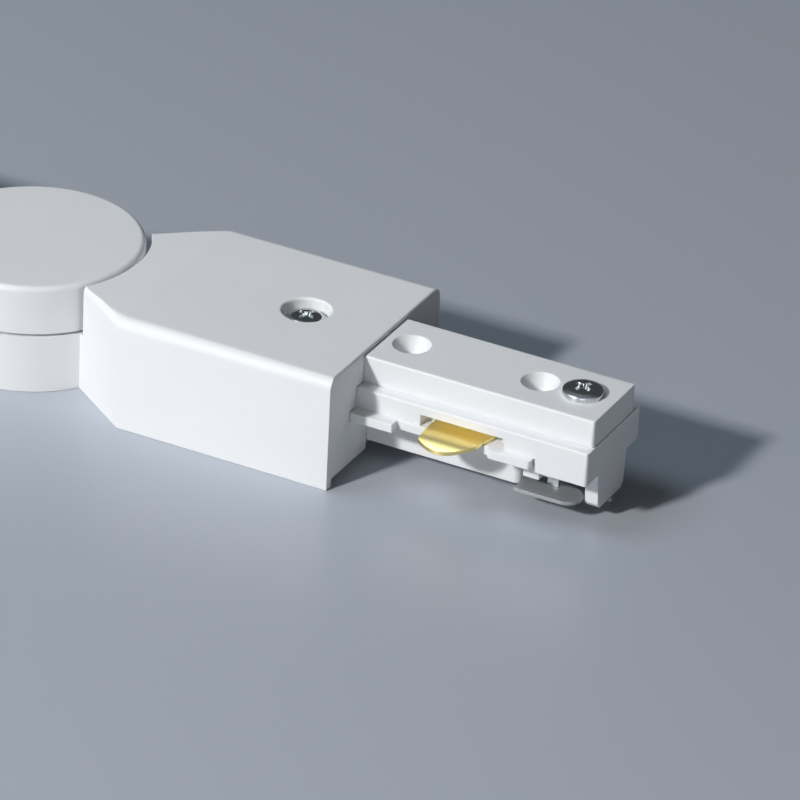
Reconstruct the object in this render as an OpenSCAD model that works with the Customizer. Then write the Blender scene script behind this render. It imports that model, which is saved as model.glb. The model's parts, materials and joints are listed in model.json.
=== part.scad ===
// Swivel straight connector for lighting track: two flat arms joined by a round half-lap hinge,
// each arm ending in a plug that slides into the end of a track.
// Millimetres. X runs along the connector, Y across it, Z up. The origin is on the hinge axis at
// the face that rests on the table. The lower arm points to +X and the upper arm to -X.

/* [Arm housings] */
// Width of an arm, the width of the track it joins
housing_w = 35; // [34:0.5:37]
// Height of an arm
housing_h = 18.5; // [18:0.25:20]
// Distance from the hinge axis to the end face that meets the track
arm_len = 60.5; // [58:0.5:66]
// Distance from the hinge axis to where the corners start to slant towards it and the top to fall
slant_start = 24.8; // [22:0.1:27]
// Distance from the hinge axis to where the top has fallen to the height of the upper disc
fall_end = 16; // [14:0.1:17]
// Thickness of the side, end and hinge walls
wall = 2; // [1.8:0.1:2.4]
// Depth of the rebate in the walls that takes a base plate
rebate = 0.5; // [0.4:0.05:0.8]
// Thickness of the top wall
top_wall = 1.8; // [1.4:0.1:2.2]
// Radius of the long top edges and the slanted ones
edge_r = 1.8; // [0.8:0.1:2.2]
// Radius of the top edge at the end face
end_edge_r = 0.5; // [0.2:0.1:0.8]
// Height of the gap left under the end wall
end_gap_h = 1.3; // [1:0.1:2]

/* [Hinge discs] */
// Radius of both hinge discs
disc_r = 17; // [16:0.25:17.25]
// Gap between a disc's rim and the hollow front of the other arm
arc_gap = 0.9; // [0.7:0.05:1.6]
// Height of the lower disc's top face
lower_disc_top = 9.4; // [9:0.1:10]
// Gap between the two discs, filled by the friction washer
seam = 0.5; // [0.3:0.05:0.7]
// Step down from the top of an arm to the upper disc
disc_step = 0.7; // [0.2:0.1:1]
// Thickness of the flat walls of the discs
disc_wall = 1.6; // [1.3:0.1:1.9]
// Radius of the upper disc's top edge
disc_edge_r = 0.9; // [0.6:0.1:1.6]

/* [Pivot] */
// Outer radius of the hollow pivot
pivot_r = 5.4; // [5:0.1:6]
// Radius of the wire hole through the pivot
pivot_bore_r = 4; // [3.7:0.1:4.2]
// Thickness of the pivot plate that closes the upper disc
pivot_plate_t = 1.6; // [1.4:0.1:1.8]
// Radial running clearance between the pivot and the lower disc
run_gap = 0.06; // [0.03:0.01:0.09]
// Outer radius of the friction washer between the discs
friction_r = 12; // [10:0.5:13]
// Outer radius of the steel pressure washer
pressure_r = 9; // [8:0.25:10]
// Thickness of the steel pressure washer
pressure_t = 0.6; // [0.4:0.1:0.8]
// Thickness of the retaining ring
ring_t = 0.8; // [0.6:0.1:1]
// Depth of the ring's groove in the pivot
groove_d = 0.6; // [0.4:0.05:0.7]
// Radial width of the retaining ring
ring_w = 2.4; // [2:0.1:2.8]
// Distance of the pivot plate's screws from the axis
pivot_screw_at = 11.5; // [10.5:0.25:12]
// Depth of the small screws' pilot holes in the upper disc
pilot_depth = 3.5; // [3.2:0.1:4.2]

/* [Base plates] */
// Thickness of a base plate
base_t = 1.5; // [1.2:0.1:1.8]
// Gap between a base plate and the walls around it
base_gap = 0.15; // [0.1:0.05:0.3]
// Radius of the boss that takes the housing screw
boss_r = 3.4; // [3:0.1:4]

/* [Plug] */
// How far the plug stands out of the end face
plug_len = 38; // [34:0.5:42]
// Width of the plug's cap
cap_w = 13.7; // [12.5:0.1:14.5]
// Step down from the top of an arm to the cap
cap_step = 0.7; // [0.4:0.1:1.1]
// Height of the cap
cap_h = 4.4; // [4:0.1:4.8]
// Width of the body
body_w = 17.7; // [17:0.1:18.5]
// Height of the body between cap and keel
body_h = 3.3; // [3:0.1:4]
// How far the corner blocks reach down beside the keel
block_h = 2.2; // [1.6:0.1:2.6]
// Where the corner blocks start, from the end face
block_start = 29.5; // [29:0.1:30.5]
// Thickness of the rails along the keel's top
rail_t = 1.45; // [1.2:0.05:1.6]
// Width over the pair of rails beside the end face
rail_1_w = 21.8; // [20.5:0.1:22.5]
// Width over the middle pair of rails
rail_2_w = 18.5; // [18:0.1:19]
// Width over the pair of rails near the nose
rail_3_w = 20.1; // [19.5:0.1:21]
// Where the first pair of rails ends, from the end face
rail_1_end = 7; // [5:0.1:9]
// Where the last pair of rails starts, from the end face
rail_3_start = 22.2; // [22:0.1:24]
// Gap between the last rails and the corner blocks
rail_end_gap = 0.25; // [0.15:0.05:0.5]
// Width of the keel
keel_w = 10; // [9.4:0.1:10.4]
// Height of the keel
keel_h = 7.4; // [6.8:0.1:7.6]
// Where the keel ends, from the end face
keel_end = 25.5; // [24:0.1:26]
// Radius of the keel's nose edges
keel_nose_r = 1.1; // [0.8:0.1:1.2]
// Thickness of the keel's walls
keel_wall = 1.25; // [1:0.05:1.4]
// Thickness of the foot across the nose
foot_t = 2.1; // [1.6:0.1:2.6]
// Width of the foot at its lower end
foot_w = 8.6; // [8:0.1:9.2]
// How far the foot reaches down below the body
foot_h = 8.2; // [6.8:0.1:8.6]
// Length of the plug's tail inside the housing
tail_len = 19; // [18:0.5:21]
// Width of the plug's tail
tail_w = 8.8; // [8.4:0.1:9]
// Height of the keel's part of the tail
tail_h = 3.3; // [2.8:0.1:3.6]
// Gap between the plug and the opening in the end wall
plug_gap = 0.2; // [0.1:0.05:0.3]
// Radius of the mouth of the locking dimples in the cap
dimple_r = 2.9; // [2.4:0.1:3.2]
// Depth of the locking dimples
dimple_d = 2.4; // [1.8:0.1:2.8]
// Distance of the first dimple from the end face
dimple_1_at = 4.3; // [3.5:0.1:6]
// Distance of the second dimple from the end face
dimple_2_at = 25.6; // [24:0.1:26]

/* [Contacts] */
// Thickness of the brass strips
strip_t = 0.6; // [0.5:0.05:0.9]
// Thickness of the earth strip
earth_t = 0.6; // [0.5:0.05:0.7]
// Radius of the rounded tongue of the brass contacts
tongue_r = 7.4; // [7:0.1:7.8]
// Distance of the tongue's centre from the end face
tongue_at = 15.6; // [15.2:0.1:16]
// How far a brass tongue reaches from the middle of the plug
tongue_reach = 13.1; // [12.4:0.1:13.4]
// Where the straight edge of the tongue lies, from the end face
tongue_edge = 12.2; // [11.8:0.1:12.6]
// Radius of the bend along the tongue's rim, over its top face
tongue_bend_r = 4; // [3:0.5:8]
// Height of the window above the brass contacts
window_h = 1.8; // [1.4:0.1:2.2]
// Where the window starts, from the end face
window_start = 10.6; // [10:0.1:11]
// Where the window ends, from the end face
window_end = 24.5; // [23.2:0.1:25]
// Width of the strip that leads back from a brass tongue
lead_strip_w = 3; // [2.4:0.1:3.2]
// How far the earth blade's underside lies below the body
earth_drop = 7.2; // [6.4:0.1:7.3]
// Length of the earth blade
earth_len = 10; // [8:0.1:10.2]
// How far the earth blade reaches from the middle of the plug
earth_reach = 7.4; // [7:0.1:8]

/* [Screws] */
// Radius of the screws' shanks
shank_r = 1.5; // [1.3:0.05:1.6]
// Radial clearance where a screw passes through
screw_gap = 0.15; // [0.1:0.05:0.25]
// Radial clearance where a screw bites
thread_gap = 0.03; // [0.02:0.01:0.05]
// Distance of the housing screw from the end face
housing_screw_in = 13.5; // [13:0.25:14.5]
// Radius of the housing screw's sunk hole
sink_r = 3.7; // [3.4:0.1:4]
// Depth of the housing screw's head below the top face
sink_d = 0.7; // [0.5:0.1:1.4]
// Radius of the sunk hole's rounded mouth
sink_edge_r = 0.4; // [0.2:0.1:0.6]
// Radius of the housing screw's head
housing_head_r = 2.5; // [2.3:0.05:2.9]
// Height of the housing screw's head
housing_head_h = 1.5; // [1.2:0.1:1.8]
// Distance of the nose screw from the end face
nose_screw_at = 32.5; // [32:0.1:33]
// Radius of the nose screw's head
nose_head_r = 3.1; // [2.8:0.1:3.3]
// Height of the nose screw's head
nose_head_h = 1.3; // [1:0.1:1.6]
// Radius of the small screws under the pivot plate
small_shank_r = 1.1; // [0.9:0.05:1.2]
// Radius of the small screws' heads
small_head_r = 2.05; // [1.8:0.05:2.2]
// Height of the small screws' heads
small_head_h = 0.8; // [0.6:0.05:0.9]

/* [Wires] */
// Outer diameter of a wire over its insulation
wire_d = 2; // [1.6:0.1:2.1]

/* [Hidden] */
$fn = 96;

white_plastic = [0.93, 0.94, 0.95];
brass = [0.8, 0.65, 0.3];
nickel = [0.62, 0.63, 0.64];
steel = [0.7, 0.71, 0.73];
fibre = [0.25, 0.25, 0.26];
line_brown = [0.35, 0.18, 0.1];
neutral_blue = [0.1, 0.3, 0.65];
earth_green = [0.15, 0.5, 0.2];

// Overhang that lets a cut pass cleanly through a face
cut = 0.5;
// Angle of the slanted corners, whose planes meet on the hinge axis
slant = atan(housing_w / 2 / slant_start);
rim = wall - rebate;
hollow_r = disc_r + arc_gap;
upper_disc_top = housing_h - disc_step;
upper_disc_bottom = lower_disc_top + seam;
lower_disc_under = lower_disc_top - disc_wall;
plate_top = upper_disc_bottom + pivot_plate_t;
ring_top = lower_disc_under - pressure_t;
// How far the pivot reaches below the ring
pivot_tip = 1;
pivot_end = ring_top - ring_t - pivot_tip;
boss_x = arm_len - housing_screw_in;
head_seat = housing_h - sink_d - housing_head_h;
cap_top = housing_h - cap_step;
cap_seam = cap_top - cap_h;
keel_seam = cap_seam - body_h;
block_bottom = keel_seam - block_h;
rail_bottom = keel_seam - rail_t;
keel_bottom = keel_seam - keel_h;
foot_bottom = keel_seam - foot_h;
tail_bottom = keel_seam - tail_h;
rail_3_end = block_start - rail_end_gap;
nose_x = arm_len + plug_len;
nose_screw_x = arm_len + nose_screw_at;
// How far the full width of the plug runs back inside the housing
root_in = 3;
// The seam at the nose shows because the cap is this much shorter
cap_short = 0.15;
cap_edge_r = 0.35;
body_edge_r = 0.3;
plug_corner_r = 0.5;
dimple_floor_r = 0.55 * dimple_r;
// Room on each side between the foot and the corner blocks
foot_gap = 0.5;
recess_w = foot_w + 2 * foot_gap;
foot_bevel = 0.8;
window_depth = 2.2;
lug_t = 2;
lug_drop = 3.4;
lug_lead = 1.1;
lug_start = keel_end + lug_lead;
lug_out = 0.4;
lug_y = keel_w / 2 + lug_out;
// Walls of plastic around the screws
boss_wall = 1.3;
pilot_wall = 1.2;
strip_top = keel_seam + strip_t;
// Where the brass starts to bend down, out from the body
bend_out = 2.35;
bend_y = body_w / 2 + bend_out;
// Inner edge of the brass, from the middle of the plug
contact_in = 2.2;
lead_y = 5;
wire_gap = 0.2;
lead_wire_y = tail_w / 2 + wire_d / 2 + wire_gap;
lead_back = 9;
lead_overlap = 1;
pocket_gap = 0.1;
earth_gap = 0.05;
earth_y = keel_w / 2 - keel_wall - earth_gap;
earth_in = earth_y - earth_t;
earth_back = 6;
earth_z = keel_seam - earth_drop;
earth_strip_up = 1.8;
earth_strip_z = keel_bottom + earth_strip_up;
earth_strip_h = 2;
earth_blade_gap = 0.2;
earth_blade_start = keel_end + earth_blade_gap;
earth_corner_r = 2.4;
earth_leg_gap = 0.1;
earth_leg_start = block_start - earth_leg_gap;
earth_leg_w = 1.8;
// Step in the blade beside its rounded corner
earth_step = 1;
// Flat of the earth strip around the nose screw
earth_tab = 2.4;
// How far the nose screw's tip stands out under the earth strip
nose_screw_out = 1.6;
// Room below the tips of the screws that end in plastic
tip_gap = 0.5;
// Shares of a screw head's height that its dome takes and that its cross recess leaves
dome_share = 0.35;
cross_floor = 0.35;
// Width of the cross recess, and its reach as a share of the head's radius
cross_w = 0.6;
cross_reach = 0.55;
small_head_gap = 0.15;
small_head_sink = 0.1;
ring_play = 0.02;
ring_inner_r = pivot_r - groove_d + ring_play;
ring_band = 0.75 * ring_w;
ring_ear_r = 1.2;
ring_ear_hole_r = 0.5;
ring_ear_turn = 28;
ring_mouth = 18;
wire_r = wire_d / 2;
wire_split = lower_disc_top + seam / 2;
// Heights of the wires over the lower arm's base plate, under the upper disc and on the brass strips
wire_low = base_t + wire_r + 0.4;
wire_high = upper_disc_top - disc_wall - wire_r - 0.6;
wire_end = strip_top + wire_r;

// Rectangle from x0 to x1, as wide as w about the first axis
module strip_plan(x0, x1, w) {
  translate([x0, -w / 2]) square([x1 - x0, w]);
}

// The same rectangle with its far corners rounded, and its near ones too if both is true
module rounded_plan(x0, x1, w, r, both = false) {
  strip_plan(both ? x0 + r : x0, x1 - r, w);
  strip_plan(x0, x1, w - 2 * r);
  for (side = [-1, 1]) {
    translate([x1 - r, side * (w / 2 - r)]) circle(r);
    if (both) translate([x0 + r, side * (w / 2 - r)]) circle(r);
  }
}

// Section of a long bar from z0 to z1 with its two top edges rounded
module bar_section(w, z0, z1, r) {
  translate([-w / 2, z0]) square([w, z1 - z0 - r]);
  translate([-w / 2 + r, z0]) square([w - 2 * r, z1 - z0]);
  for (side = [-1, 1]) translate([side * (w / 2 - r), z1 - r]) circle(r);
}

// Bar of the plug from x0 to x1 with its two top edges and its corners at the nose rounded
module plug_bar(x0, x1, w, z0, z1, r) {
  intersection() {
    along_x(x0, x1) bar_section(w, z0, z1, r);
    lift(z0, z1) rounded_plan(x0, x1, w, plug_corner_r);
  }
}

// Section that fills depth to the left of the upright axis, with that top edge rounded
module edge_section(depth, h, r) {
  translate([-depth, 0]) square([depth, h - r]);
  translate([-depth, 0]) square([depth - r, h]);
  translate([-r, h - r]) circle(r);
}

// Runs a section, whose axes stand for Y and Z, along X from x0 to x1
module along_x(x0, x1) {
  translate([x0, 0, 0]) rotate([90, 0, 90]) linear_extrude(x1 - x0) children();
}

// Lifts a plan from z0 to z1
module lift(z0, z1) {
  translate([0, 0, z0]) linear_extrude(z1 - z0) children();
}

// Plan of an arm, moved in by d from its outer faces; the slanted sides aim at the axis
function arm_outline(d) =
  let (half = housing_w / 2 - d, corner = (half * cos(slant) + d) / sin(slant))
  [[d / sin(slant), 0], [corner, -half], [arm_len - d, -half], [arm_len - d, half], [corner, half]];

// Lays a side view, whose axes stand for X and Z, across the whole width of an arm
module across_y() {
  rotate([90, 0, 0]) linear_extrude(housing_w + 2 * cut, center = true) children();
}

// Full block of an arm as far as the axis, its top edges rounded and its top falling to the hinge
module arm_block() {
  reach = 2 * arm_len;
  intersection() {
    lift(0, housing_h) polygon(arm_outline(0));
    along_x(-cut, arm_len + cut) bar_section(housing_w, 0, housing_h, edge_r);
    rotate([0, 0, slant]) along_x(-cut, reach) edge_section(reach, housing_h, edge_r);
    mirror([0, 1, 0]) rotate([0, 0, slant]) along_x(-cut, reach) edge_section(reach, housing_h, edge_r);
    across_y() translate([arm_len, 0]) edge_section(reach, housing_h, end_edge_r);
    across_y() polygon([
      [-cut, -cut],
      [reach, -cut],
      [reach, housing_h],
      [slant_start, housing_h],
      [fall_end, upper_disc_top],
      [-cut, upper_disc_top]
    ]);
  }
}

// Section of the plug where it passes the end wall, grown by gap and open to the table
module plug_section(gap) {
  translate([-keel_w / 2 - gap, -cut]) square([keel_w + 2 * gap, rail_bottom + cut]);
  translate([-rail_1_w / 2 - gap, rail_bottom - gap]) square([rail_1_w + 2 * gap, rail_t + 2 * gap]);
  translate([-body_w / 2 - gap, keel_seam - gap]) square([body_w + 2 * gap, body_h + 2 * gap]);
  translate([-cap_w / 2 - gap, cap_seam - gap]) square([cap_w + 2 * gap, cap_h + 2 * gap]);
}

// What both housings lose: the room in the arm, the rebate, the plug's opening and the screw's hole
module arm_cuts() {
  lift(-cut, housing_h - top_wall) difference() {
    polygon(arm_outline(wall));
    circle(hollow_r + wall);
  }
  lift(-cut, base_t) difference() {
    polygon(arm_outline(rim));
    circle(hollow_r + rim);
  }
  along_x(arm_len - wall - cut, arm_len + cut) plug_section(plug_gap);
  along_x(arm_len - wall - cut, arm_len + cut)
    translate([-housing_w / 2 + rim, -cut]) square([housing_w - 2 * rim, end_gap_h + cut]);
}

// Boss under the top wall that reaches down to the plug's tail
module screw_boss() {
  translate([boss_x, 0, cap_seam])
    cylinder(r = sink_r + boss_wall, h = housing_h - top_wall / 2 - cap_seam);
}

// Hole for the housing screw, sunk for its head, with a rounded mouth
module screw_boss_hole() {
  translate([boss_x, 0, cap_seam - cut]) cylinder(r = shank_r + screw_gap, h = housing_h);
  translate([boss_x, 0, head_seat]) cylinder(r = sink_r, h = housing_h);
  translate([boss_x, 0, housing_h - sink_edge_r]) rotate_extrude() difference() {
    square([sink_r + sink_edge_r, sink_edge_r + cut]);
    translate([sink_r + sink_edge_r, 0]) circle(sink_edge_r);
  }
}

// Arm whose disc lies below, open underneath
module lower_housing() {
  color(white_plastic) difference() {
    union() {
      difference() {
        union() {
          difference() {
            arm_block();
            translate([0, 0, lower_disc_top]) cylinder(r = hollow_r, h = housing_h);
          }
          cylinder(r = disc_r, h = lower_disc_top);
        }
        arm_cuts();
        lift(-cut, lower_disc_under) {
          circle(disc_r - wall);
          polygon(arm_outline(wall));
        }
        lift(-cut, base_t) {
          circle(disc_r - rim);
          polygon(arm_outline(rim));
        }
      }
      screw_boss();
    }
    screw_boss_hole();
    translate([0, 0, lower_disc_under - cut]) cylinder(r = pivot_r + run_gap, h = disc_wall + 2 * cut);
  }
}

// Disc with its top edge rounded
module upper_disc() {
  h = upper_disc_top - upper_disc_bottom;
  translate([0, 0, upper_disc_bottom]) rotate_extrude() {
    square([disc_r, h - disc_edge_r]);
    square([disc_r - disc_edge_r, h]);
    translate([disc_r - disc_edge_r, h - disc_edge_r]) circle(disc_edge_r);
  }
}

// Places of the pivot plate's screws, clear of the wires' way into the arm
module at_pivot_screws() {
  for (turn = [60, 180, 300]) rotate([0, 0, turn]) translate([pivot_screw_at, 0, 0]) children();
}

// Arm whose disc lies above, drawn towards +X
module upper_shell() {
  room_top = upper_disc_top - disc_wall;
  difference() {
    union() {
      difference() {
        union() {
          difference() {
            arm_block();
            translate([0, 0, -cut]) cylinder(r = hollow_r, h = upper_disc_bottom + cut);
          }
          upper_disc();
        }
        arm_cuts();
        lift(plate_top, room_top) {
          circle(disc_r - wall);
          polygon(arm_outline(wall));
        }
        lift(upper_disc_bottom - cut, plate_top) circle(disc_r - rim);
      }
      screw_boss();
      at_pivot_screws() translate([0, 0, plate_top])
        cylinder(r = small_shank_r + pilot_wall, h = room_top - plate_top + cut);
    }
    screw_boss_hole();
    at_pivot_screws() translate([0, 0, plate_top - cut])
      cylinder(r = small_shank_r + thread_gap, h = pilot_depth + cut);
  }
}

module upper_housing() {
  color(white_plastic) mirror([1, 0, 0]) upper_shell();
}

// Boss on a base plate that the housing screw bites into
module base_boss() {
  difference() {
    translate([boss_x, 0, 0]) cylinder(r = boss_r, h = tail_bottom);
    translate([boss_x, 0, base_t]) cylinder(r = shank_r + thread_gap, h = housing_h);
  }
}

module lower_base_plate() {
  color(white_plastic) {
    lift(0, base_t) {
      polygon(arm_outline(rim + base_gap));
      circle(disc_r - rim - base_gap);
    }
    base_boss();
  }
}

module upper_base_plate() {
  color(white_plastic) mirror([1, 0, 0]) {
    lift(0, base_t) difference() {
      polygon(arm_outline(rim + base_gap));
      circle(hollow_r + rim + base_gap);
    }
    base_boss();
  }
}

// Cap that closes the plug, with two dimples for the track's locking screws
module plug_cap() {
  dimple_slope = (dimple_r - dimple_floor_r) / dimple_d;
  color(white_plastic) difference() {
    plug_bar(arm_len - wall, nose_x - cap_short, cap_w, cap_seam, cap_top, cap_edge_r);
    for (at = [dimple_1_at, dimple_2_at])
      translate([arm_len + at, 0, cap_top - dimple_d])
        cylinder(r1 = dimple_floor_r, r2 = dimple_r + cut * dimple_slope, h = dimple_d + cut);
    translate([nose_screw_x, 0, cap_seam - cut]) cylinder(r = shank_r + screw_gap, h = housing_h);
  }
}

// Plan of a brass contact: a tongue cut from a disc, and the strip that leads back to its wire
module contact_plan(gap) {
  intersection() {
    translate([arm_len + tongue_at, -(tongue_reach - tongue_r)]) circle(tongue_r + gap);
    translate([arm_len + tongue_edge - gap, -housing_w])
      square([2 * tongue_r, housing_w - contact_in + gap]);
  }
  translate([arm_len - lead_back - gap, -lead_y - lead_strip_w / 2 - gap])
    square([lead_back + tongue_edge + lead_overlap + gap, lead_strip_w + 2 * gap]);
}

// Body of the plug: the wide middle layer, its two corner blocks and the foot across the nose
module plug_body() {
  color(white_plastic) difference() {
    union() {
      plug_bar(arm_len - root_in, nose_x, body_w, keel_seam, cap_seam, body_edge_r);
      lift(keel_seam, cap_seam) strip_plan(arm_len - tail_len, arm_len, tail_w);
      lift(block_bottom, keel_seam + body_h / 2) difference() {
        rounded_plan(arm_len + block_start, nose_x, body_w, plug_corner_r);
        strip_plan(arm_len, nose_x + cut, recess_w);
      }
      along_x(nose_x - foot_t, nose_x) for (side = [0, 1]) mirror([side, 0]) polygon([
        [0, keel_seam + body_h / 2],
        [recess_w / 2, keel_seam + body_h / 2],
        [recess_w / 2, block_bottom],
        [foot_w / 2, foot_bottom + foot_bevel],
        [foot_w / 2 - foot_bevel, foot_bottom],
        [0, foot_bottom]
      ]);
    }
    for (side = [0, 1]) mirror([0, side, 0]) {
      lift(keel_seam - cut, strip_top) contact_plan(pocket_gap);
      lift(keel_seam - cut, keel_seam + window_h) translate([arm_len + window_start, -body_w])
        square([window_end - window_start, body_w / 2 + window_depth]);
    }
    for (x = [boss_x, nose_screw_x])
      translate([x, 0, keel_seam - cut]) cylinder(r = shank_r + screw_gap, h = housing_h);
  }
}

// Keel under the plug: three pairs of rails over a channel, two lugs and the tail for the screw
module plug_keel() {
  color(white_plastic) difference() {
    union() {
      lift(rail_bottom, keel_seam) {
        strip_plan(arm_len - root_in, arm_len + rail_1_end, rail_1_w);
        strip_plan(arm_len, arm_len + rail_3_start + 1, rail_2_w);
        rounded_plan(arm_len + rail_3_start, arm_len + rail_3_end, rail_3_w, plug_corner_r, both = true);
      }
      lift(keel_bottom, keel_seam - rail_t / 2)
        rounded_plan(arm_len - root_in, arm_len + keel_end, keel_w, keel_nose_r);
      lift(tail_bottom, keel_seam) strip_plan(arm_len - tail_len, arm_len, tail_w);
      for (side = [-1, 1])
        translate([arm_len + lug_start, side * lug_y - lug_t / 2, rail_bottom - lug_drop])
          cube([rail_3_end - lug_start, lug_t, lug_drop + rail_t / 2]);
    }
    lift(keel_bottom + keel_wall, rail_bottom)
      strip_plan(arm_len - root_in - cut, arm_len + keel_end + cut, keel_w - 2 * keel_wall);
    translate([boss_x, 0, 0]) cylinder(r = shank_r + screw_gap, h = housing_h);
  }
}

// Brass contact on the -Y side: flat between body and keel, bent down along the tongue's rim
module line_contact() {
  color(brass) intersection() {
    lift(0, housing_h) contact_plan(0);
    along_x(arm_len - lead_back - cut, nose_x) {
      translate([-bend_y, keel_seam]) square([bend_y, strip_t]);
      translate([-bend_y, strip_top - tongue_bend_r]) intersection() {
        difference() {
          circle(tongue_bend_r);
          circle(tongue_bend_r - strip_t);
        }
        translate([-2 * tongue_bend_r, 0]) square(2 * tongue_bend_r);
      }
    }
  }
}

module neutral_contact() {
  mirror([0, 1, 0]) line_contact();
}

// Earth contact: a blade beside the foot, a leg up to the nose screw and a strip back in the keel
module earth_contact() {
  leg = arm_len + earth_leg_start;
  blade = arm_len + earth_blade_start;
  blade_w = earth_reach - earth_in - earth_step;
  color(nickel) difference() {
    union() {
      lift(earth_z, earth_z + earth_t) {
        translate([blade, -earth_reach]) square([leg + earth_leg_w - blade, earth_reach - earth_in]);
        translate([blade, -earth_reach]) square([earth_len - earth_corner_r, blade_w]);
        translate([blade, -earth_reach + earth_corner_r]) square([earth_len, blade_w - earth_corner_r]);
        translate([blade + earth_len - earth_corner_r, -earth_reach + earth_corner_r])
          circle(earth_corner_r);
      }
      translate([leg, -earth_y, earth_z]) cube([earth_leg_w, earth_t, keel_seam - earth_z]);
      translate([leg, -earth_y, keel_seam - earth_t])
        cube([nose_screw_x + earth_tab - leg, earth_y + earth_tab, earth_t]);
      translate([arm_len - earth_back, -earth_y, earth_strip_z])
        cube([earth_leg_start + earth_leg_w + earth_back, earth_t, earth_strip_h]);
    }
    translate([nose_screw_x, 0, 0]) cylinder(r = shank_r + thread_gap, h = housing_h);
  }
}

// Screw standing on z = 0 at the underside of its head, with a cross recess
module pan_screw(head_r, head_h, r, length) {
  crown = head_h * dome_share;
  dome_r = (head_r * head_r + crown * crown) / (2 * crown);
  difference() {
    union() {
      intersection() {
        cylinder(r = head_r, h = head_h);
        translate([0, 0, head_h - dome_r]) sphere(dome_r);
      }
      translate([0, 0, -length]) cylinder(r = r, h = length);
    }
    for (turn = [25, 115]) rotate([0, 0, turn])
      translate([-head_r * cross_reach, -cross_w / 2, head_h * cross_floor])
        cube([2 * head_r * cross_reach, cross_w, head_h]);
  }
}

module housing_screw() {
  color(steel) translate([boss_x, 0, head_seat])
    pan_screw(housing_head_r, housing_head_h, shank_r, head_seat - base_t - tip_gap);
}

module nose_screw() {
  color(steel) translate([nose_screw_x, 0, cap_top])
    pan_screw(nose_head_r, nose_head_h, shank_r, cap_top - keel_seam + earth_t + nose_screw_out);
}

// Evenly spread points on a smooth curve through the given points, n to a stretch
function curve_at(a, b, c, d, t) =
  0.5 * (2 * b + (c - a) * t + (2 * a - 5 * b + 4 * c - d) * t * t + (3 * b - a - 3 * c + d) * t * t * t);
function smooth(p, n) = [
  for (i = [0:len(p) - 2], k = [0:n - 1])
    curve_at(p[max(i - 1, 0)], p[i], p[i + 1], p[min(i + 2, len(p) - 1)], k / n),
  p[len(p) - 1]
];
function unit(v) = v / norm(v);

// Round tube along a route that never runs along Y
module wire_along(route) {
  sides = 10;
  p = smooth(route, 3);
  last = len(p) - 1;
  rings = [
    for (i = [0:last])
      let (t = unit(p[min(i + 1, last)] - p[max(i - 1, 0)]), u = unit(cross(t, [0, 1, 0])), v = cross(t, u))
      [for (k = [0:sides - 1]) p[i] + wire_r * (u * cos(k * 360 / sides) + v * sin(k * 360 / sides))]
  ];
  points = [for (ring = rings, q = ring) q];
  walls = [
    for (i = [0:last - 1], k = [0:sides - 1])
      let (a = i * sides + k, b = i * sides + (k + 1) % sides)
      each [[a, b, b + sides], [a, b + sides, a + sides]]
  ];
  start = [for (k = [0:sides - 1]) sides - 1 - k];
  end = [for (k = [0:sides - 1]) last * sides + k];
  polyhedron(points, concat([start], walls, [end]));
}

// Last stretch of a live or neutral wire, beside the tail and onto its strip
function lead_end(side) = [
  for (back = [housing_screw_in + 1, lead_back - 0.5, lead_back / 2])
    [arm_len - back, side * lead_wire_y, wire_end]
];

// Last stretch of an earth wire, round the base plate's boss and onto the earth strip
function earth_end() =
  let (y = wire_r - earth_in, z = earth_strip_z + earth_strip_h / 2) [
    [arm_len - housing_screw_in - 1, -6, wire_low + 0.8],
    [arm_len - 10.8, -5.2, wire_low + 1.3],
    [arm_len - 8.4, -3.2, wire_low + 1.9],
    [arm_len - earth_back - 0.8, y, z],
    [arm_len - earth_back + 0.8, y, z],
    [arm_len - earth_back + 2.4, y, z]
  ];

function lower_lead(side) = concat([
  [-1.1, side * 1.9, wire_split],
  [-1.1, side * 1.9, wire_split - 1.8],
  [-1.1, side * 1.9, wire_split - 3.4],
  [-0.1, side * 2.05, wire_low + 1.1],
  [2.2, side * 2.15, wire_low + 0.05],
  [8, side * 2.6, wire_low],
  [18, side * 4, wire_low + 0.5],
  [28, side * 5.6, wire_low + 3],
  [38, side * lead_wire_y, wire_end - 1.6]
], lead_end(side));

lower_earth_route = concat([
  [2.2, 0, wire_split],
  [2.2, 0, wire_split - 1.8],
  [2.2, 0, wire_split - 3.4],
  [3.2, 0, wire_low + 1.1],
  [5.6, 0, wire_low + 0.05],
  [12, 0, wire_low],
  [22, -0.3, wire_low],
  [32, -3, wire_low + 0.1],
  [40, -5.6, wire_low + 0.5]
], earth_end());

function upper_lead(side) = concat([
  [1.1, side * 1.9, wire_split],
  [1.1, side * 1.9, wire_split + 1],
  [1.1, side * 1.9, wire_split + 2],
  [2.1, side * 2.05, wire_high - 1],
  [4.2, side * 2.15, wire_high - 0.1],
  [10, side * 2.6, wire_high],
  [20, side * 4, wire_high - 0.4],
  [30, side * 5.6, wire_end + 1.6],
  [40, side * lead_wire_y, wire_end + 0.3]
], lead_end(side));

upper_earth_route = concat([
  [-2.2, 0, wire_split],
  [-2.2, 0, wire_split + 1],
  [-2.2, 0, wire_split + 2],
  [-1.2, 0, wire_high - 1],
  [0.9, 0, wire_high - 0.1],
  [8, 0, wire_high],
  [20, -0.3, wire_high - 1.2],
  [30, -2.5, wire_end - 1.6],
  [40, -5.8, wire_low + 2.5]
], earth_end());

module lower_line_wire() color(line_brown) wire_along(lower_lead(-1));
module lower_neutral_wire() color(neutral_blue) wire_along(lower_lead(1));
module lower_earth_wire() color(earth_green) wire_along(lower_earth_route);
module upper_line_wire() color(line_brown) mirror([1, 0, 0]) wire_along(upper_lead(-1));
module upper_neutral_wire() color(neutral_blue) mirror([1, 0, 0]) wire_along(upper_lead(1));
module upper_earth_wire() color(earth_green) mirror([1, 0, 0]) wire_along(upper_earth_route);

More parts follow.
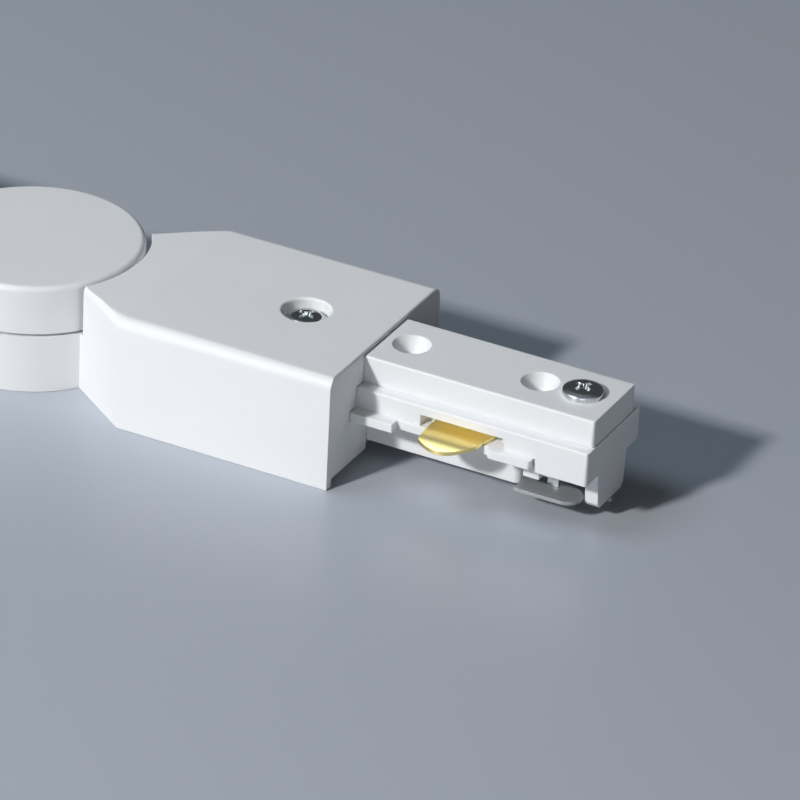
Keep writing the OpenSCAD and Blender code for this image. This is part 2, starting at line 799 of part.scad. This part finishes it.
// Plate that closes the upper disc, with the hollow pivot that turns in the lower disc
module pivot_plate() {
  below = upper_disc_bottom - cut;
  color(white_plastic) difference() {
    union() {
      translate([0, 0, upper_disc_bottom]) cylinder(r = disc_r - rim - base_gap, h = pivot_plate_t);
      translate([0, 0, pivot_end]) cylinder(r = pivot_r, h = plate_top - pivot_end);
    }
    translate([0, 0, pivot_end - cut]) cylinder(r = pivot_bore_r, h = housing_h);
    translate([0, 0, ring_top - ring_t]) difference() {
      cylinder(r = pivot_r + cut, h = ring_t);
      translate([0, 0, -cut]) cylinder(r = pivot_r - groove_d, h = ring_t + 2 * cut);
    }
    mirror([1, 0, 0]) at_pivot_screws() {
      translate([0, 0, below]) cylinder(r = small_shank_r + screw_gap, h = pivot_plate_t + 2 * cut);
      translate([0, 0, below])
        cylinder(r = small_head_r + small_head_gap, h = cut + small_head_sink + small_head_h);
    }
  }
}

module pivot_screws() {
  color(steel) mirror([1, 0, 0]) at_pivot_screws() translate([0, 0, upper_disc_bottom + small_head_sink]) {
    cylinder(r = small_head_r, h = small_head_h);
    cylinder(r = small_shank_r, h = pivot_plate_t + pilot_depth - small_head_sink - tip_gap);
  }
}

// Flat ring round the pivot
module washer(z0, z1, outer_r) {
  lift(z0, z1) difference() {
    circle(outer_r);
    circle(pivot_r + run_gap);
  }
}

module friction_washer() color(fibre) washer(lower_disc_top, upper_disc_bottom, friction_r);
module pressure_washer() color(steel) washer(ring_top, lower_disc_under, pressure_r);

module at_ring_ears() {
  for (turn = [-ring_ear_turn, ring_ear_turn]) rotate([0, 0, turn])
    translate([ring_inner_r + ring_w - ring_ear_r, 0]) children();
}

// Open ring sprung into the pivot's groove, with two ears for the pliers
module retaining_ring() {
  reach = 2 * pivot_r;
  color(steel) lift(ring_top - ring_t, ring_top) difference() {
    union() {
      circle(ring_inner_r + ring_band);
      at_ring_ears() circle(ring_ear_r);
    }
    circle(ring_inner_r);
    polygon([[0, 0], [reach, -reach * tan(ring_mouth)], [reach, reach * tan(ring_mouth)]]);
    at_ring_ears() circle(ring_ear_hole_r);
  }
}

lower_housing();
lower_base_plate();
housing_screw();  // lower_housing_screw
plug_cap();  // lower_plug_cap
plug_body();  // lower_plug_body
plug_keel();  // lower_plug_keel
nose_screw();  // lower_nose_screw
line_contact();  // lower_line_contact
neutral_contact();  // lower_neutral_contact
earth_contact();  // lower_earth_contact
lower_line_wire();
lower_neutral_wire();
lower_earth_wire();
upper_housing();
upper_base_plate();
mirror([1, 0, 0]) housing_screw();  // upper_housing_screw
mirror([1, 0, 0]) plug_cap();  // upper_plug_cap
mirror([1, 0, 0]) plug_body();  // upper_plug_body
mirror([1, 0, 0]) plug_keel();  // upper_plug_keel
mirror([1, 0, 0]) nose_screw();  // upper_nose_screw
mirror([1, 0, 0]) line_contact();  // upper_line_contact
mirror([1, 0, 0]) neutral_contact();  // upper_neutral_contact
mirror([1, 0, 0]) earth_contact();  // upper_earth_contact
upper_line_wire();
upper_neutral_wire();
upper_earth_wire();
pivot_plate();
pivot_screws();
friction_washer();
pressure_washer();
retaining_ring();
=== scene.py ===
"""Looks of the swivel straight connector: two white arms on a round half-lap hinge, with track plugs."""
import json
import math

import bpy
from mathutils import Matrix, Vector

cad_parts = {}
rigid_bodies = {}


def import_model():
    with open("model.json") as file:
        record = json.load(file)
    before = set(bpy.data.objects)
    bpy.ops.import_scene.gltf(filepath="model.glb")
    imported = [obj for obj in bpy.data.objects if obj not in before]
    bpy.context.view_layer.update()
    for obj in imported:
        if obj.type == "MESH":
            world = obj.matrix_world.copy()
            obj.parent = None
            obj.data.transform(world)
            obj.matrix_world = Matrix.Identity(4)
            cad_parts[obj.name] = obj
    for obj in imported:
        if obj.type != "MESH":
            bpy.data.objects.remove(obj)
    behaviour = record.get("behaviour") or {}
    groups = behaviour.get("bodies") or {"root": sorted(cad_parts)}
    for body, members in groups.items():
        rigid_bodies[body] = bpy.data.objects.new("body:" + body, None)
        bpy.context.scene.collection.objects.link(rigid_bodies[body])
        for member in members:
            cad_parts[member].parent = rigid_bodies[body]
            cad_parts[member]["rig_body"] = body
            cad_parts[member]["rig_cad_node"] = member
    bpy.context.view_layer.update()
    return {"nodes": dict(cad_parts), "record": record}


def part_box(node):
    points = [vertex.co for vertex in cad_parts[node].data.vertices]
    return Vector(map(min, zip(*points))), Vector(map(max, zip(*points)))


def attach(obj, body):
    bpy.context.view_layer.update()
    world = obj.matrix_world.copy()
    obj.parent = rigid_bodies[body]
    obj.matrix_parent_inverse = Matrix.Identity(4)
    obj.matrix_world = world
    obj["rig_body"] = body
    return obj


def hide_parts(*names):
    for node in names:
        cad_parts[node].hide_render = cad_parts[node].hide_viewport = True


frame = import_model()

MM = 0.001
ARMS = ("lower", "upper")
SLOT_OF = {row["node"]: row["material_slot"] for row in frame["record"]["subparts"]}
BODY_OF = {node: body for body, nodes in frame["record"]["behaviour"]["bodies"].items() for node in nodes}


def pick(*objects):
    """Selects these objects alone, the last one active."""
    bpy.ops.object.select_all(action="DESELECT")
    for one in objects:
        one.select_set(True)
    bpy.context.view_layer.objects.active = objects[-1]


# Camera

CAMERA_AZIMUTH = math.radians(26.2846)
CAMERA_ELEVATION = math.radians(29.087)
CAMERA_ROLL = math.radians(2.8071)
CAMERA_TARGET = Vector((56.9948, 12.6983, 0)) * MM
CAMERA_DISTANCE = 946.126 * MM
FOCAL_PIXELS = 6244.82
FRAME_PIXELS = 800
SENSOR_WIDTH = 36


def add_camera():
    """Looks at the connector from the photograph's direction."""
    az, el = CAMERA_AZIMUTH, CAMERA_ELEVATION
    back = Vector((math.sin(az) * math.cos(el), -math.cos(az) * math.cos(el), math.sin(el)))
    level = Vector((math.cos(az), math.sin(az), 0))
    upright = back.cross(level)
    right = level * math.cos(CAMERA_ROLL) + upright * math.sin(CAMERA_ROLL)
    up = upright * math.cos(CAMERA_ROLL) - level * math.sin(CAMERA_ROLL)
    bpy.ops.object.camera_add(location=CAMERA_TARGET + back * CAMERA_DISTANCE)
    camera = bpy.context.object
    camera.name = "photo_camera"
    camera.rotation_mode = "QUATERNION"
    camera.rotation_quaternion = Matrix((right, up, back)).transposed().to_quaternion()
    camera.data.sensor_width = SENSOR_WIDTH
    camera.data.lens = FOCAL_PIXELS * SENSOR_WIDTH / FRAME_PIXELS
    camera.data.clip_start = 0.05
    camera.data.clip_end = 20
    bpy.context.scene.camera = camera


# Materials

# Marks per metre of the noise that each property follows
PLASTIC_TINT_MARKS = 60
PLASTIC_GLOSS_MARKS = 900
PLASTIC_RELIEF_MARKS = 2600
METAL_GRAIN_MARKS = 2500
FLOOR_TINT_MARKS = 3
FLOOR_GLOSS_MARKS = 700
# Part of the noise's range over which a property goes from its low to its high value
NOISE_LOW = 0.3
NOISE_HIGH = 0.7
PLASTIC_TINT_DRIFT = 0.975
ALONG_STRIP = (0.06, 1, 1)
AROUND_STEEL = (1, 1, 0.3)


def new_material(name, **values):
    """A material and its shader, with these values on the shader's own sockets."""
    material = bpy.data.materials.new(name)
    material.use_nodes = True
    shader = material.node_tree.nodes["Principled BSDF"]
    for socket, value in values.items():
        shader.inputs[socket.replace("_", " ")].default_value = value
    return material, shader


def object_noise(material, scale, detail=2.0, stretch=(1, 1, 1)):
    """Noise that sits still on the piece; scale is in marks per metre."""
    nodes, links = material.node_tree.nodes, material.node_tree.links
    place = nodes.new("ShaderNodeTexCoord")
    mapping = nodes.new("ShaderNodeMapping")
    mapping.inputs["Scale"].default_value = stretch
    noise = nodes.new("ShaderNodeTexNoise")
    noise.inputs["Scale"].default_value = scale
    noise.inputs["Detail"].default_value = detail
    links.new(place.outputs["Object"], mapping.inputs["Vector"])
    links.new(mapping.outputs["Vector"], noise.inputs["Vector"])
    return noise


def vary_value(material, noise, socket, low, high):
    """Drives a number on the shader from low to high with the noise."""
    nodes, links = material.node_tree.nodes, material.node_tree.links
    spread = nodes.new("ShaderNodeMapRange")
    spread.inputs["From Min"].default_value = NOISE_LOW
    spread.inputs["From Max"].default_value = NOISE_HIGH
    spread.inputs["To Min"].default_value = low
    spread.inputs["To Max"].default_value = high
    links.new(noise.outputs["Fac"], spread.inputs["Value"])
    links.new(spread.outputs["Result"], socket)


def vary_colour(material, noise, socket, low, high):
    """Drives a colour on the shader from low to high with the noise."""
    nodes, links = material.node_tree.nodes, material.node_tree.links
    ramp = nodes.new("ShaderNodeValToRGB")
    first, last = ramp.color_ramp.elements
    first.position, first.color = NOISE_LOW, (*low, 1)
    last.position, last.color = NOISE_HIGH, (*high, 1)
    links.new(noise.outputs["Fac"], ramp.inputs["Fac"])
    links.new(ramp.outputs["Color"], socket)


def add_bump(material, shader, noise, height, strength):
    """Relief of this height that follows the noise."""
    nodes, links = material.node_tree.nodes, material.node_tree.links
    bump = nodes.new("ShaderNodeBump")
    bump.inputs["Distance"].default_value = height
    bump.inputs["Strength"].default_value = strength
    links.new(noise.outputs["Fac"], bump.inputs["Height"])
    links.new(bump.outputs["Normal"], shader.inputs["Normal"])


def moulded_plastic(name, colour, roughness):
    """Moulded plastic: a faint waviness, soft colour drift and slightly uneven gloss."""
    material, shader = new_material(name, IOR=1.5, Specular_IOR_Level=0.3, Subsurface_Weight=0.12,
                                    Subsurface_Radius=(1.0, 0.9, 0.75), Subsurface_Scale=0.8 * MM)
    drift = tuple(part * PLASTIC_TINT_DRIFT for part in colour)
    vary_colour(material, object_noise(material, PLASTIC_TINT_MARKS, 3), shader.inputs["Base Color"], drift, colour)
    vary_value(material, object_noise(material, PLASTIC_GLOSS_MARKS, 4), shader.inputs["Roughness"],
               roughness - 0.04, roughness + 0.05)
    add_bump(material, shader, object_noise(material, PLASTIC_RELIEF_MARKS, 3), 0.004 * MM, 0.6)
    return material


def bare_metal(name, light, dark, roughness, stretch, metallic=1.0, relief=0.003 * MM):
    """Metal strip or turned metal with drawn lines along the stretch's short side; duller below 1."""
    material, shader = new_material(name, Metallic=metallic)
    grain = object_noise(material, METAL_GRAIN_MARKS, 5, stretch)
    vary_colour(material, grain, shader.inputs["Base Color"], dark, light)
    vary_value(material, grain, shader.inputs["Roughness"], roughness + 0.06, roughness - 0.04)
    add_bump(material, shader, grain, relief, 0.5)
    return material


MATERIALS = {
    "white_plastic": moulded_plastic("white_plastic", (0.86, 0.87, 0.885), 0.48),
    "contact_brass": bare_metal("contact_brass", (0.98, 0.81, 0.35), (0.92, 0.74, 0.28), 0.34, ALONG_STRIP,
                                relief=0.001 * MM),
    "contact_nickel": bare_metal("contact_nickel", (0.44, 0.46, 0.475), (0.36, 0.38, 0.39), 0.4, ALONG_STRIP,
                                 metallic=0.45),
    "screw_steel": bare_metal("screw_steel", (0.74, 0.76, 0.77), (0.62, 0.64, 0.65), 0.14, AROUND_STEEL),
    "spring_steel": bare_metal("spring_steel", (0.36, 0.37, 0.39), (0.24, 0.25, 0.27), 0.35, AROUND_STEEL),
    "washer_fibre": moulded_plastic("washer_fibre", (0.05, 0.045, 0.04), 0.6),
    "wire_brown": moulded_plastic("wire_brown", (0.1, 0.035, 0.015), 0.42),
    "wire_blue": moulded_plastic("wire_blue", (0.015, 0.06, 0.32), 0.42),
    "wire_green": moulded_plastic("wire_green", (0.03, 0.22, 0.04), 0.42),
}


def dress(piece, node):
    """Gives a finished piece the material, body and place of the solid that it stands for."""
    slot = SLOT_OF[node]
    piece.data.materials.clear()
    piece.data.materials.append(MATERIALS[slot])
    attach(piece, BODY_OF[node])
    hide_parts(node)


# Modelling steps

def edit(piece):
    pick(piece)
    bpy.ops.object.mode_set(mode="EDIT")


def leave_edit():
    bpy.ops.object.mode_set(mode="OBJECT")


def select_faces(piece, test):
    """Selects, in edit mode, the faces that the test accepts by centre and normal."""
    leave_edit()
    for part in (piece.data.vertices, piece.data.edges, piece.data.polygons):
        part.foreach_set("select", [False] * len(part))
    for face in piece.data.polygons:
        face.select = test(face.center, face.normal)
    bpy.ops.object.mode_set(mode="EDIT")
    bpy.ops.mesh.select_mode(type="FACE")


def faces_up(centre, normal):
    return normal.z > 0.9


def faces_down(centre, normal):
    return normal.z < -0.9


def settle_place(piece):
    """Moves the piece's place, turn and scale into its mesh."""
    pick(piece)
    bpy.ops.object.transform_apply(location=True, rotation=True, scale=True)


def apply_modifier(piece, kind, **settings):
    pick(piece)
    bpy.ops.object.modifier_add(type=kind)
    modifier = piece.modifiers[-1]
    for name, value in settings.items():
        setattr(modifier, name, value)
    bpy.ops.object.modifier_apply(modifier=modifier.name)


def join_solid(piece, other, operation):
    """Unites with, or cuts away, another solid, which is then gone."""
    apply_modifier(piece, "BOOLEAN", object=other, operation=operation, solver="EXACT")
    bpy.data.objects.remove(other, do_unlink=True)


def smooth(piece, angle):
    pick(piece)
    bpy.ops.object.shade_smooth_by_angle(angle=angle)


# Mouldings, strips, washers and wires

# Width in millimetres of each piece's broken edges
EDGE_WIDTHS = {
    "housing": 0.25, "base_plate": 0.12, "plug_cap": 0.18, "plug_body": 0.18, "plug_keel": 0.2,
    "line_contact": 0.13, "neutral_contact": 0.13, "earth_contact": 0.12,
}
HINGE_EDGE_WIDTHS = {"pivot_plate": 0.12, "friction_washer": 0.05, "pressure_washer": 0.08, "retaining_ring": 0.1}
SAME_POINT = 0.002 * MM
SAME_PLANE = math.radians(0.4)
SHARP_ANGLE = math.radians(38)
WIRE_ANGLE = math.radians(50)

# A brass tongue bends down and out from the plug's side on
TONGUE_SIDE = 9.0 * MM
TONGUE_REACH = 4.1 * MM
TONGUE_STRETCH = 1.08
TONGUE_FALL = 0.65 * MM
TONGUE_ROWS = 8
ROW_PITCH = 0.28 * MM
# Its outer tip is rounded off between these distances along and across the plug
TIP_FROM = 77 * MM
TIP_LENGTH = 5 * MM
TIP_TRIM = 1.0 * MM
TIP_OUTER = 11.4 * MM
TIP_INNER = 4.0 * MM


def copy_of(node):
    """A separate piece with the same form as a solid, its triangles joined into whole faces."""
    pick(frame["nodes"][node])
    bpy.ops.object.duplicate()
    piece = bpy.context.object
    bpy.ops.object.parent_clear(type="CLEAR_KEEP_TRANSFORM")
    piece.name = node + "_finished"
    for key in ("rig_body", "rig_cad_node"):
        del piece[key]
    edit(piece)
    bpy.ops.mesh.select_all(action="SELECT")
    bpy.ops.mesh.remove_doubles(threshold=SAME_POINT)
    bpy.ops.mesh.customdata_custom_splitnormals_clear()
    bpy.ops.mesh.dissolve_limited(angle_limit=SAME_PLANE)
    leave_edit()
    return piece


def settle_tongue(piece, node):
    """Draws a brass tongue's rim out and down, in a bend from the plug's side on, and rounds its outer tip."""
    high = Vector(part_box(node)[1])
    out = 1 if high.y > TONGUE_SIDE else -1
    along = 1 if high.x > 0 else -1
    edit(piece)
    for row in range(TONGUE_ROWS):
        bpy.ops.mesh.select_all(action="SELECT")
        bpy.ops.mesh.bisect(plane_co=(0, out * (TONGUE_SIDE + row * ROW_PITCH), 0), plane_no=(0, 1, 0))
    leave_edit()
    for vertex in piece.data.vertices:
        side = vertex.co.y * out
        if side > TIP_INNER:
            tip = min(1, max(0, (vertex.co.x * along - TIP_FROM) / TIP_LENGTH))
            inner = min(1, max(0, (TIP_OUTER - side) / (TIP_OUTER - TONGUE_SIDE)))
            vertex.co.x -= along * TIP_TRIM * tip * inner
        reach = side - TONGUE_SIDE
        if reach > 0:
            vertex.co.z -= TONGUE_FALL * (reach / TONGUE_REACH) ** 2
            vertex.co.y = out * (TONGUE_SIDE + reach * TONGUE_STRETCH)


def soft_edged(node, width, shape=None):
    """The solid with its sharp edges rounded by width millimetres, shaped before that if need be."""
    piece = copy_of(node)
    if shape:
        shape(piece, node)
    apply_modifier(piece, "BEVEL", width=width * MM, segments=3, limit_method="ANGLE",
                   angle_limit=SHARP_ANGLE, use_clamp_overlap=True, miter_outer="MITER_ARC")
    smooth(piece, SHARP_ANGLE)
    apply_modifier(piece, "WEIGHTED_NORMAL", keep_sharp=True, weight=80)
    dress(piece, node)


def add_moulded_and_punched_pieces():
    for arm in ARMS:
        for part, width in EDGE_WIDTHS.items():
            shape = settle_tongue if part in ("line_contact", "neutral_contact") else None
            soft_edged(f"{arm}_{part}", width, shape)
    for node, width in HINGE_EDGE_WIDTHS.items():
        soft_edged(node, width)


def add_wires():
    for arm in ARMS:
        for wire in ("line_wire", "neutral_wire", "earth_wire"):
            node = f"{arm}_{wire}"
            piece = copy_of(node)
            smooth(piece, WIRE_ANGLE)
            dress(piece, node)


# Screws

# Head height, height of its crown, and the cross recess's reach in radii and turn in degrees
CROSS_SCREWS = {
    "nose_screw": (1.3 * MM, 0.45 * MM, 0.58, -22),
    "housing_screw": (1.5 * MM, 0.2 * MM, 0.78, -15),
}
SHANK_RADIUS = 1.5 * MM
RECESS_WIDTH = 0.3
RECESS_DEPTH = 0.95
RECESS_EDGE = 0.05 * MM
SCREW_ANGLE = math.radians(32)

PIVOT_HEAD_RADIUS = 2.05 * MM
PIVOT_HEAD_HEIGHT = 0.8 * MM
PIVOT_CROWN = 0.2 * MM
PIVOT_SHANK_RADIUS = 1.1 * MM
PIVOT_SCREW_AT = 11.5 * MM
PIVOT_RECESS_REACH = 0.6
PIVOT_RECESS_WIDTH = 0.24
PIVOT_RECESS_DEPTH = 0.62
PIVOT_SCREW_TURNS = (0, 120, 240)

HEAD_SIDES = 64
HEAD_SHOULDER = 0.1
CROWN_RINGS = (0.2, 0.3, 0.4, 0.52, 0.66, 0.8)

# How far the recess's wings stand over the head, and how much they narrow at their foot
WING_OVER = 0.2 * MM
WING_FOOT_LONG = 0.42
WING_FOOT_WIDE = 0.55

THREAD_PITCH = 0.9 * MM
THREAD_DEPTH = 0.3 * MM
# Steps out and up, in pitches, from foot to foot of one turn of the thread
THREAD_PROFILE = ((0, 0.3), (THREAD_DEPTH, 0.28), (0, 0.14), (-THREAD_DEPTH, 0.28))
THREAD_STEPS = 24
THREAD_LIFT = 0.1 * MM
CORE_SIDES = 32
CORE_INTO_HEAD = 0.3 * MM
CORE_TIP = 0.45 * MM


def domed_head(name, radius, height, crown):
    """A pan head standing on the origin: straight side, narrow rounded shoulder and a crown this high."""
    ball = (radius * radius + crown * crown) / (2 * crown)
    bpy.ops.mesh.primitive_cylinder_add(vertices=HEAD_SIDES, radius=radius, depth=height, location=(0, 0, height / 2))
    head = bpy.context.object
    head.name = name
    settle_place(head)
    edit(head)
    select_faces(head, faces_up)
    bpy.ops.transform.translate(value=(0, 0, -crown))
    bpy.ops.mesh.bevel(offset=HEAD_SHOULDER * radius, segments=3, affect="EDGES")
    select_faces(head, lambda centre, normal: normal.z > 0.9 and centre.xy.length < 0.01 * MM)
    reached = HEAD_SHOULDER * radius
    lifted = 0.0
    for share in CROWN_RINGS:
        inward = share * radius
        upward = math.sqrt(ball * ball - (radius - inward) ** 2) - (ball - crown)
        bpy.ops.mesh.inset(thickness=inward - reached, depth=0)
        bpy.ops.transform.translate(value=(0, 0, upward - lifted))
        reached, lifted = inward, upward
    leave_edit()
    return head


def cross_cutter(reach, width, depth, top):
    """Two tapered wings and a pointed centre, the form of a cross-point driver."""
    cutter = None
    for turn, foot in ((0, (WING_FOOT_LONG, WING_FOOT_WIDE, 1)), (math.pi / 2, (WING_FOOT_WIDE, WING_FOOT_LONG, 1))):
        bpy.ops.mesh.primitive_cube_add(size=1, location=(0, 0, top - depth / 2 + WING_OVER))
        wing = bpy.context.object
        wing.scale = (2 * reach, width, depth + 2 * WING_OVER)
        wing.rotation_euler = (0, 0, turn)
        settle_place(wing)
        edit(wing)
        select_faces(wing, faces_down)
        bpy.ops.transform.resize(value=foot)
        leave_edit()
        if cutter:
            join_solid(cutter, wing, "UNION")
        else:
            cutter = wing
    bpy.ops.mesh.primitive_cone_add(vertices=4, radius1=0.12 * reach, radius2=0.62 * reach, depth=depth + 0.5 * MM,
                                    location=(0, 0, top - depth / 2))
    point = bpy.context.object
    settle_place(point)
    join_solid(cutter, point, "UNION")
    return cutter


def threaded_shank(radius, length):
    """A shank below the origin with a helical thread and a blunt tip."""
    bpy.ops.mesh.primitive_plane_add(size=1, location=(0, 0, 0))
    thread = bpy.context.object
    edit(thread)
    bpy.ops.mesh.select_all(action="SELECT")
    bpy.ops.mesh.merge(type="CENTER")
    bpy.ops.transform.translate(value=(radius - THREAD_DEPTH, 0, 0))
    for x, z in THREAD_PROFILE:
        bpy.ops.mesh.extrude_region_move(TRANSFORM_OT_translate={"value": (x, 0, z * THREAD_PITCH)})
    leave_edit()
    apply_modifier(thread, "SCREW", angle=2 * math.pi, screw_offset=THREAD_PITCH, steps=THREAD_STEPS,
                   render_steps=THREAD_STEPS, iterations=max(1, int(length / THREAD_PITCH) - 1),
                   use_merge_vertices=True, merge_threshold=0.005 * MM, axis="Z", use_normal_calculate=True)
    edit(thread)
    bpy.ops.mesh.select_all(action="SELECT")
    bpy.ops.mesh.remove_doubles(threshold=0.004 * MM)
    bpy.ops.mesh.select_all(action="DESELECT")
    bpy.ops.mesh.select_mode(type="VERT")
    bpy.ops.mesh.select_non_manifold()
    bpy.ops.mesh.fill_holes(sides=0)
    bpy.ops.mesh.select_all(action="SELECT")
    bpy.ops.mesh.normals_make_consistent(inside=False)
    bpy.ops.transform.translate(value=(0, 0, -length + THREAD_LIFT))
    leave_edit()
    bpy.ops.mesh.primitive_cylinder_add(vertices=CORE_SIDES, radius=radius - 0.8 * THREAD_DEPTH,
                                        depth=length + CORE_INTO_HEAD, location=(0, 0, (CORE_INTO_HEAD - length) / 2))
    core = bpy.context.object
    settle_place(core)
    edit(core)
    select_faces(core, faces_down)
    bpy.ops.mesh.bevel(offset=CORE_TIP, segments=2, affect="EDGES")
    leave_edit()
    join_solid(core, thread, "UNION")
    return core


def cross_screw(node, head_height, crown, reach, turn):
    """A pan-head screw with a cross recess, in the place of its plain solid."""
    low, high = (Vector(corner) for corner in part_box(node))
    radius = (high.x - low.x) / 2
    head = domed_head(node + "_finished", radius, head_height, crown)
    join_solid(head, threaded_shank(SHANK_RADIUS, high.z - low.z - head_height), "UNION")
    cutter = cross_cutter(reach * radius, RECESS_WIDTH * radius, RECESS_DEPTH * head_height, head_height)
    join_solid(head, cutter, "DIFFERENCE")
    head.rotation_euler = (0, 0, math.radians(turn))
    head.location = ((low.x + high.x) / 2, (low.y + high.y) / 2, high.z - head_height)
    settle_place(head)
    apply_modifier(head, "BEVEL", width=RECESS_EDGE, segments=2, limit_method="ANGLE",
                   angle_limit=math.radians(40), use_clamp_overlap=True)
    smooth(head, SCREW_ANGLE)
    dress(head, node)


def pivot_screw(turn):
    """One of the small screws under the pivot plate, its head down."""
    low, high = (Vector(corner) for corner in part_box("pivot_screws"))
    head = domed_head(f"pivot_screw_{turn}", PIVOT_HEAD_RADIUS, PIVOT_HEAD_HEIGHT, PIVOT_CROWN)
    join_solid(head, threaded_shank(PIVOT_SHANK_RADIUS, high.z - low.z - PIVOT_HEAD_HEIGHT), "UNION")
    cutter = cross_cutter(PIVOT_RECESS_REACH * PIVOT_HEAD_RADIUS, PIVOT_RECESS_WIDTH * PIVOT_HEAD_RADIUS,
                          PIVOT_RECESS_DEPTH * PIVOT_HEAD_HEIGHT, PIVOT_HEAD_HEIGHT)
    join_solid(head, cutter, "DIFFERENCE")
    head.rotation_euler = (math.pi, 0, math.radians(turn))
    place = Matrix.Rotation(math.radians(turn), 3, "Z") @ Vector((PIVOT_SCREW_AT, 0, 0))
    head.location = (place.x, place.y, low.z + PIVOT_HEAD_HEIGHT)
    settle_place(head)
    return head


def add_screws():
    for arm in ARMS:
        for screw, sizes in CROSS_SCREWS.items():
            cross_screw(f"{arm}_{screw}", *sizes)
    pick(*[pivot_screw(turn) for turn in PIVOT_SCREW_TURNS])
    bpy.ops.object.join()
    joined = bpy.context.object
    joined.name = "pivot_screws_finished"
    smooth(joined, SCREW_ANGLE)
    dress(joined, "pivot_screws")


# Stage

FLOOR_DARK = (0.455, 0.49, 0.545)
FLOOR_LIGHT = (0.475, 0.51, 0.565)
FLOOR_SIZE = 20
FLOOR_LEVEL = -0.05 * MM
# Direction, distance and side in metres, power in watts, and colour of each soft box
SOFT_BOXES = {
    "key_box": ((-0.41, -1, 0.71), 1.2, 0.1, 11.2, (1.0, 0.985, 0.97)),
    "top_box": ((-0.43, -0.2, 0.88), 1.3, 0.6, 3.9, (0.75, 0.88, 1.0)),
    "fill_box": ((0.5, -1, 0.3), 1.3, 0.6, 1.0, (1.0, 0.985, 0.96)),
}
SKY_COLOUR = (0.84, 0.89, 0.96, 1)
SKY_STRENGTH = 0.04
ROOM_DARK = 0.07
ROOM_BRIGHT = 0.8
ROOM_BRIGHT_SIDE = (0, -1, 0.1)


def add_floor():
    material, shader = new_material("floor_grey", IOR=1.45)
    vary_colour(material, object_noise(material, FLOOR_TINT_MARKS), shader.inputs["Base Color"],
                FLOOR_DARK, FLOOR_LIGHT)
    vary_value(material, object_noise(material, FLOOR_GLOSS_MARKS, 3), shader.inputs["Roughness"], 0.3, 0.36)
    bpy.ops.mesh.primitive_plane_add(size=FLOOR_SIZE, location=(0, 0, FLOOR_LEVEL))
    floor = bpy.context.object
    floor.name = "floor"
    floor.data.materials.append(material)


def add_light(name, direction, distance, size, power, colour):
    """A square soft box that looks at the connector."""
    aim = Vector(direction).normalized()
    bpy.ops.object.light_add(type="AREA", location=CAMERA_TARGET + aim * distance)
    light = bpy.context.object
    light.name = name
    light.rotation_mode = "QUATERNION"
    light.rotation_quaternion = aim.to_track_quat("Z", "Y")
    light.data.shape = "SQUARE"
    light.data.size = size
    light.data.energy = power
    light.data.color = colour


def add_world():
    """A dim even sky; shiny pieces reflect a room that is pale behind the camera and dark beyond."""
    world = bpy.data.worlds.new("studio")
    bpy.context.scene.world = world
    world.use_nodes = True
    nodes, links = world.node_tree.nodes, world.node_tree.links
    place = nodes.new("ShaderNodeTexCoord")
    towards = nodes.new("ShaderNodeVectorMath")
    towards.operation = "DOT_PRODUCT"
    towards.inputs[1].default_value = ROOM_BRIGHT_SIDE
    room = nodes.new("ShaderNodeMapRange")
    room.inputs["From Min"].default_value = -0.5
    room.inputs["From Max"].default_value = 0.8
    room.inputs["To Min"].default_value = ROOM_DARK
    room.inputs["To Max"].default_value = ROOM_BRIGHT
    rays = nodes.new("ShaderNodeLightPath")
    strength = nodes.new("ShaderNodeMix")
    strength.inputs["A"].default_value = SKY_STRENGTH
    sky = nodes["Background"]
    sky.inputs["Color"].default_value = SKY_COLOUR
    links.new(place.outputs["Generated"], towards.inputs[0])
    links.new(towards.outputs["Value"], room.inputs["Value"])
    links.new(room.outputs["Result"], strength.inputs["B"])
    links.new(rays.outputs["Is Glossy Ray"], strength.inputs["Factor"])
    links.new(strength.outputs["Result"], sky.inputs["Strength"])


add_camera()
add_moulded_and_punched_pieces()
add_wires()
add_screws()
add_floor()
for box_name, box in SOFT_BOXES.items():
    add_light(box_name, *box)
add_world()
bpy.context.scene.view_settings.view_transform = "Standard"
